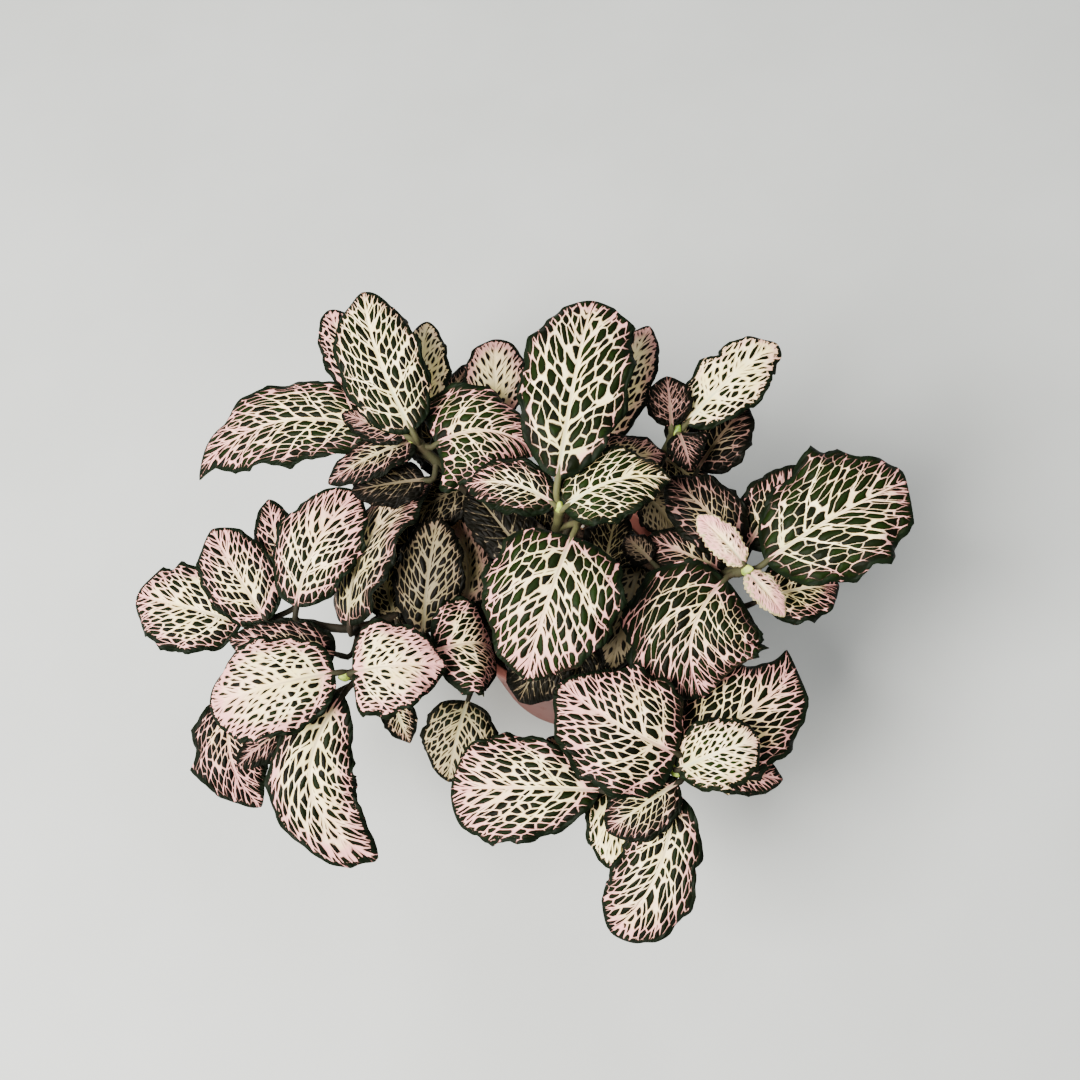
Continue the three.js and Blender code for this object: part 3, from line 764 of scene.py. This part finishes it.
for shoot, parts in SHOOTS.items():
    root = parts["root"]
    way = spline([(*root, SOIL_TOP + 1), (*root, SOIL_TOP + 4), *parts["way"]], STEM_STEPS)
    joints = [way[round(share * STEM_STEPS)] for share in parts["joints"]]
    foot = np.array([(*root, z) for z in np.linspace(SOIL_TOP - HOLE_DEPTH, SOIL_TOP, 6)])
    whole = np.vstack([foot, way])
    pieces = [tube(whole, STEM_RADIUS + swelling(whole, joints), STEM_SIDES)]
    for leaf in parts["blades"]:
        base = np.array(leaf["start"], float)
        lower = [joint for joint in joints if joint[2] < base[2]] or joints[:1]
        pieces.append(petiole(min(lower, key=lambda joint: np.linalg.norm(joint - base)), leaf))
    stem = mesh_piece(shoot.replace("shoot", "stems"), *gathered(pieces), stem_finish)
    tip = mesh_piece(shoot.replace("shoot", "bud"), *bud(way[-1], unit(way[-1] - way[-4])), bud_finish)
    for piece in (stem, tip):
        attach(piece, "root")
        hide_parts(shoot)


# Leaf blades. Thin soft tissue, quilted up between its side veins, with a valley along the midrib and
# margins that turn down, wave and end in small points. A pale net of veins shows on its dark green face.
FACE_SIZE = 0.7
BLADE_THICKNESS = 0.5
RIM_STANDOUT = 0.1
END_ROUNDNESS = 1.27
# How high each form stands, as a share of the blade's width or of the room between two side veins.
FOLD = 0.24
CUP = 0.34
WAVE = 0.06
SCALLOP = 0.04
CRIMP = 0.013
YOUNG_CRIMP = 0.06
RIPPLE = 0.016
QUILT = 0.055
# The groove over the midrib and the rib beneath it, in millimetres.
GROOVE = 0.3
RIB = 0.55
SPIKES = 7
TOOTH = 0.9
LOT = 512
SIDE_VEINS = 7
VEIN_LEAN = 0.2
VEIN_CURVE = 0.3
CELLS_ABREAST = 1.35


def draw(seed, which):
    """A repeatable draw between 0 and 1 for each blade."""
    value = math.sin(seed * 12.9898 + which * 78.233) * 43758.5453
    return value - math.floor(value)


def outline(along, full):
    """Half of a blade's outline: how wide it is at a share of its length, with 1 where it is widest."""
    return ((along / full) ** full * ((1 - along) / (1 - full)) ** (1 - full)) ** END_ROUNDNESS


def vein_marks(leaf, seed, ahead, side, length):
    """Where places of a flattened blade are among its veins: how many side veins lie before each, how many
    cells lie between it and the midrib, how wide its band between two side veins is, and how big a cell."""
    half = leaf["wide"] / 2
    spacing = length / SIDE_VEINS

    def count(ahead, side):
        """The side veins before a place. The left half's are shifted by a draw, and all of them wander."""
        out = np.abs(side)
        base = (ahead - VEIN_LEAN * out - VEIN_CURVE * out**2 / half) / (1 + 2 * out / length)
        bands = base / spacing + draw(seed, 11) * np.clip(side / 1.6 + 0.5, 0, 1)
        bands += 0.05 * np.sin(side / 2.3 + 7 * draw(seed, 12)) * np.sin(ahead / 4.1 + 7 * draw(seed, 13))
        return bands + 0.07 * np.sin(side / 5.1 + 7 * draw(seed, 14)) + 0.3

    step = 0.05
    bands = count(ahead, side)
    slope = np.hypot(count(ahead + step, side) - bands, count(ahead, side + step) - bands) / step
    room = 1 / np.maximum(slope, 1e-3)
    out = np.abs(side)
    cross = 1.02 * (out + 0.4 * out**2 / half) / leaf["cell"]
    cross += 0.2 * np.sin(ahead / 3.7 + 7 * draw(seed, 15))
    cell = np.sqrt(leaf["cell"] / (1 + 0.8 * out / half) * room / (CELLS_ABREAST + out / half))
    return bands, cross + 0.37, room, cell


def margin_marks(ahead, side):
    """How far each place of a flattened blade is from its margin, and how many teeth round the margin the
    nearest place of it lies. It takes the places in lots, to save memory."""
    places = np.stack([ahead, side], axis=-1)
    margin = np.vstack([places[:, 0], places[::-1, -1]])
    fine = np.linspace(0, len(margin) - 1, 6 * len(margin))
    margin = np.stack([np.interp(fine, np.arange(len(margin)), margin[:, axis]) for axis in (0, 1)], axis=1)
    teeth = np.concatenate([[0], np.cumsum(np.linalg.norm(np.diff(margin, axis=0), axis=1))]) / TOOTH
    places = places.reshape(-1, 2)
    edge, run = np.empty(len(places)), np.empty(len(places))
    for start in range(0, len(places), LOT):
        some = slice(start, start + LOT)
        gaps = ((places[some, None, :] - margin[None, :, :]) ** 2).sum(axis=2)
        edge[some] = np.sqrt(gaps.min(axis=1))
        run[some] = teeth[gaps.argmin(axis=1)]
    return edge.reshape(side.shape), run.reshape(side.shape)


def closed_sheet(upper, lower):
    """Places and faces of a blade from the grids of its two faces, whose base and tip are drawn together to
    one place each. Also says which places of a grid are kept, and which of those go round the rim."""
    rows, columns = upper.shape[0] - 1, upper.shape[1] - 1
    keep = [0, *range(columns + 1, rows * (columns + 1)), rows * (columns + 1)]
    count = len(keep)
    grid = np.zeros((rows + 1, columns + 1), int)
    grid[1:-1] = 1 + np.arange((rows - 1) * (columns + 1)).reshape(rows - 1, columns + 1)
    grid[-1] = count - 1
    rim = [*grid[:, 0].tolist(), *grid[-2:0:-1, -1].tolist()]
    rim_rows = np.clip([*range(rows + 1), *range(rows - 1, 0, -1)], 1, rows - 1)

    upper, lower = (sheet.reshape(-1, 3)[keep] for sheet in (upper, lower))
    flat = (upper + lower) / 2
    outward = unit(flat[rim] - flat[grid[rim_rows, columns // 2]])
    verts = np.vstack([upper, lower, flat[rim] + outward * RIM_STANDOUT])

    faces = []
    for row in range(rows):
        for column in range(columns):
            ring = [*grid[row : row + 2, column], *grid[row : row + 2, column + 1][::-1]]
            ring = [int(corner) for corner in dict.fromkeys(ring)]
            faces += [ring, [count + corner for corner in ring][::-1]]
    for at, start in enumerate(rim):
        after = (at + 1) % len(rim)
        end, middle, middle_end = rim[after], 2 * count + at, 2 * count + after
        faces += [(start, middle, middle_end, end), (middle, count + start, count + end, middle_end)]
    return verts, faces, keep, rim


def blade_mesh(leaf, seed):
    """Places, faces and marks of one blade."""
    length = float(np.linalg.norm(np.subtract(leaf["end"], leaf["start"])))
    wide = leaf["wide"]
    face_size = FACE_SIZE * (1 - 0.6 * leaf["young"])
    rows, columns = max(14, round(length / face_size)), 2 * max(5, round(wide / 2 / face_size))
    even = np.linspace(0, 1, rows + 1)
    along = (0.3 * even + 0.7 * (0.5 - 0.5 * np.cos(math.pi * even)))[:, None]
    across = np.linspace(-1, 1, columns + 1)[None, :]
    out, left_side = np.abs(across), across > 0

    def waving(count, which):
        """A wave that comes count times along the blade and starts at a draw of its own on each side."""
        start = np.where(left_side, draw(seed, which), draw(seed, which + 1))
        return np.sin(2 * math.pi * (count * along + start))

    # The flattened blade: scallops, crimps, small random spikes, its own points and notches, its base lobes
    # pulled back and its tip drawn out.
    local = wide / 2 * outline(along, leaf["full"])
    crimp = CRIMP + YOUNG_CRIMP * leaf["young"]
    half = local * (1 + out * (SCALLOP * waving(4.6, 3) + crimp * waving(12.3, 8)))
    for spike in range(SPIKES):
        at = 0.3 + 0.68 * draw(seed, 20 + spike)
        reach = wide * (0.012 + 0.025 * draw(seed, 30 + spike) ** 2)
        here = left_side == (draw(seed, 40 + spike) > 0.5)
        half = half + reach * here * out**4 * np.exp(-np.abs(along - at) / 0.014) * np.sin(math.pi * along)
    for at, side, reach in leaf["points"]:
        if at < 1:
            near = np.exp(-np.abs(along - at) * length / (0.6 + 0.5 * abs(reach)))
            half = half + reach * (np.sign(across) == side) * out**5 * near
    flat_side = half * across
    flat_ahead = along * length - leaf["heart"] * length * 4 * along * (1 - along) ** 4 * out**2
    for at, side, reach in leaf["points"]:
        if at == 1:
            near = np.exp((along - 1) * length / (0.6 + 0.28 * abs(reach)))
            flat_ahead, flat_side = flat_ahead + reach * near, flat_side + side * reach * near
    bands, cross, room, cell = vein_marks(leaf, seed, flat_ahead, flat_side, length)
    edge, run = margin_marks(flat_ahead, flat_side)

    # How high each place stands over the midrib's own plane.
    swell = np.sqrt(np.maximum(np.sin(math.pi * along), 0))
    waves = waving(2 + draw(seed, 5), 1)
    height = half * (FOLD * out - CUP * out**2) + WAVE * wide * out**3 * waves * swell
    quilt = QUILT * np.minimum(room, 8) * (0.5 - 0.5 * np.cos(2 * math.pi * bands))
    height = height + quilt * np.clip(4 * out * (1 - out) * swell, 0, 1)
    height = height - GROOVE * np.exp(-((flat_side / 0.7) ** 2)) * swell
    height = height + RIPPLE * wide * out**4 * waving(6.3, 6) * swell

    # The flattened blade laid along its midrib, and given its thickness.
    places, ahead, top = midrib_of(leaf, along[:, 0])
    left = unit(np.cross(top, ahead))
    face = np.cross(ahead, left)
    roll = math.radians(leaf["roll"])
    normal = (face * math.cos(roll) + left * math.sin(roll))[:, None, :]
    left = (left * math.cos(roll) - face * math.sin(roll))[:, None, :]
    middle = places[:, None, :] + left * flat_side[..., None] + normal * height[..., None]
    middle = middle - ahead[:, None, :] * (along * length - flat_ahead)[..., None]
    upright = np.cross(np.gradient(middle, axis=0), np.gradient(middle, axis=1))
    upright[0], upright[-1] = upright[1], upright[-2]
    upright = unit(upright)
    thick = BLADE_THICKNESS * (1 - 0.35 * out**2)[..., None] / 2
    rib = (RIB * np.exp(-((flat_side / 0.8) ** 2)) * (1 - along) * swell)[..., None]
    verts, faces, keep, rim = closed_sheet(middle + upright * thick, middle - upright * (thick + rib))
    low, high = (np.array(corner) / MM for corner in CAD_BOX)

    # Each mark gives a place three numbers. The first of "side" is 1 on the upper face, 0 on the lower one
    # and between them round the rim.
    marks = {
        "veins": (bands, cross, room),
        "rim": (cell, run, edge),
        "place": (flat_side, out, local),
        "tone": (leaf["wash"], leaf["pink"], leaf["green"]),
        "kind": (leaf["young"], leaf["dull"], seed),
        "side": (1, along, leaf["cell"]),
    }
    for name, values in marks.items():
        kept = [np.broadcast_to(value, half.shape).reshape(-1)[keep] for value in values]
        marks[name] = np.stack([np.concatenate([value, value, value[rim]]) for value in kept], axis=1)
    marks["rim"][2 * len(keep) :, 2] = 0
    marks["side"][len(keep) :, 0] = 0
    marks["side"][2 * len(keep) :, 0] = 0.6
    return np.clip(verts, low, high), faces, marks


leaf_finish, where, join = finish_of("veined_leaf", Specular_IOR_Level=0.04)


def mark(name):
    """The three numbers of a blade's mark at each place."""
    whole = where.node("ShaderNodeAttribute", {"attribute_name": name}, {}, "Vector")
    return [whole.axis(axis) for axis in "XYZ"]


def cells(x, y, measure, out="Distance"):
    """Cells of a net: how far the vein round a cell or its middle is, or a colour drawn for the cell."""
    place = where.node("ShaderNodeCombineXYZ", {}, {"X": x, "Y": y})
    settings = {"feature": measure, "voronoi_dimensions": "2D"}
    sockets = {"Vector": place, "Scale": 1, "Randomness": 0.72}
    return where.node("ShaderNodeTexVoronoi", settings, sockets, out)


bands, cross, room = mark("veins")
cell, run, edge = mark("rim")
aside, out, local = mark("place")
wash, pink, green = mark("tone")
young, dull, seed = mark("kind")
top_face, share, size = mark("side")
ragged = where.grain(1700, 3) - 0.5
bends = where.grain(330, 2) - 0.5
elsewhere = where.node("ShaderNodeVectorMath", {"operation": "ADD"}, {0: where, 1: (0.3, 0.2, 0.1)})
other_bends = elsewhere.grain(330, 2) - 0.5
clouds = where.grain(150, 3)

# The net. Each band between two side veins has its own run of cells, more of them abreast towards the
# margin. Distances from the veins are in shares of a cell.
bands = bands + bends * 0.14
band = bands.floor()
within = bands - band
own = (band + seed * 40 + aside.over(0) * 20 + 0.25).floor() * 7.3
x = own + (within - 0.5) * (1.5 + out)
y = cross + other_bends * 0.5 + own * 0.37
round_off = (0.68 - cells(x, y, "F1")) * 0.8
fine = cells(x, y, "DISTANCE_TO_EDGE").soft_least(round_off, 0.1)
draw_of_cell = cells(x, y, "F1", "Color").axis("X")
side_vein = (0.5 - (within - 0.5).size()) * room / cell
midrib = (aside.size() - 0.1 - (1 - share) * 0.55) / cell

# Near the margin the net breaks up into fine veins that run straight out, one to each tooth.
run = run + bends * 1.6 + edge * 0.12
tooth = run.floor()
tooth_number = (tooth + seed * 50 + 0.25).floor()
tooth_draw = where.node("ShaderNodeTexWhiteNoise", {"noise_dimensions": "1D"}, {"W": tooth_number})
teeth = (run - tooth - 0.5).size() * 0.5
fringe = (1 - edge.rise(1, 2.8)) * (local / size).rise(0.7, 1.4)
distance = side_vein.soft_least(fine, 0.05) - (1 - out * 0.7) * 0.06 * (1 - side_vein.rise(0, 0.25))
relief = distance.least(midrib).rise(-0.05, 0.5) * 0.8 + ragged * 0.1 + clouds * 0.1
teeth = teeth + (1 - fringe) * 0.5 + (1 - edge.rise(0.8, 1.5)) * 0.4
distance = (distance + fringe * 0.05).soft_least(teeth, 0.05)
distance = distance.least(midrib) + ragged * 0.05

# The veins are wider where the leaf is more washed with cream, and taper out before the dark margin.
patchy = (clouds * 1.4 + share * 0.4 - 0.35).rise(0.05, 0.9)
vein_half = 0.008 + wash * (0.01 + patchy * 0.14 + draw_of_cell * 0.08) + (1 - out) * 0.02
vein_half = vein_half * (1 - (1 - share.rise(0.08, 0.42)) * (1 - wash).most(0) * 0.5)
margin_wide = 0.41 + size * 0.06 + tooth_draw * 0.4 - young * 0.6
taper = (edge - margin_wide).rise(0, 0.6)
net = 1 - (distance - vein_half * taper + (1 - taper) * 0.04).rise(-0.035, 0.045)
halo = 1 - (distance - vein_half).rise(0, 0.12)

# The net is cream, greener at the base, pink towards the margin and the tip, and duller at its edges.
near_margin = 1 - edge.rise(0.8, 6)
pinkness = pink * 0.65 + near_margin * (0.45 + pink) + share.rise(0.3, 1) * pink - 0.2 + bends * 0.7
pinkness = pinkness.rise(0, 1)
cream = clouds.rise(0.3, 0.7).tint(paint("fbeab4"), paint("e9d68c"))
base_green = (1 - share.rise(0.05, 0.4)) * (0.3 + green * 0.5)
cream = base_green.tint(cream, paint("aeb072"))
pale = pinkness.tint(cream, paint("d8938f"))
pale = ((distance / vein_half.most(0.01)).rise(0.1, 0.9) * 0.45).tint(pale, paint("a98f78"))

# The tissue in the cells is nearly black, or green where the leaf is, olive beside the veins, and darkest
# at the margin, which is pale on young leaves.
leafy = (green * (distance - vein_half).rise(0, 0.25) * (0.1 + draw_of_cell * 0.8)).least(1)
deep = leafy.tint(paint("050402"), paint("152705"))
deep = (halo * (0.03 + green * 0.12)).tint(deep, paint("403f1c"))
rim_green = (1 - (edge - margin_wide).rise(0.1, 0.8)) * 0.8
deep = rim_green.tint(deep, paint("081007"))
deep = (young * (1 - edge.rise(0.7, 1.6))).tint(deep, paint("b3a376"))
colour = net.tint(deep, pale)

# The midrib shows as one pale line, leaves deep in the plant are darkened with painted shade, and
# undersides are grey green.
rib = (1 - (aside.size() / (0.14 + (1 - share) * 0.5)).rise(0.4, 1.1)) * (1 - share.rise(0.15, 0.85))
colour = (rib * 0.8).tint(colour, (pink * 1.4).least(1).tint(paint("b7bb93"), paint("9c8069")))
# Painted shade: each blade's own share of it darkens its colour towards near black, with a dim brown net.
colour = (dull * 0.95).tint(colour, (net * 0.9).tint(paint("060503"), paint("4b4133")))
under = (1 - distance.rise(0.05, 0.3)).tint(paint("6f7d55"), paint("a9a883"))
under = (near_margin * 0.4).tint(under, paint("8a746c"))
join(
    Base_Color=top_face.rise(0.3, 0.6).tint(under, colour),
    Roughness=0.5 + clouds * 0.12 - net * 0.05,
    Normal=relief.bump(0.0006, 0.7),
)

number = 0
for shoot, parts in SHOOTS.items():
    sheets, marks = [], []
    for leaf in parts["blades"]:
        number += 1
        verts, faces, its_own = blade_mesh(leaf, number)
        sheets.append((verts, faces))
        marks.append(its_own)
    leaves = mesh_piece(shoot.replace("shoot", "leaves"), *gathered(sheets), leaf_finish)
    for name in marks[0]:
        values = np.vstack([its_own[name] for its_own in marks]).astype(np.float32)
        leaves.data.attributes.new(name, "FLOAT_VECTOR", "POINT").data.foreach_set("vector", values.ravel())
    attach(leaves, "root")
    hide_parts(shoot)
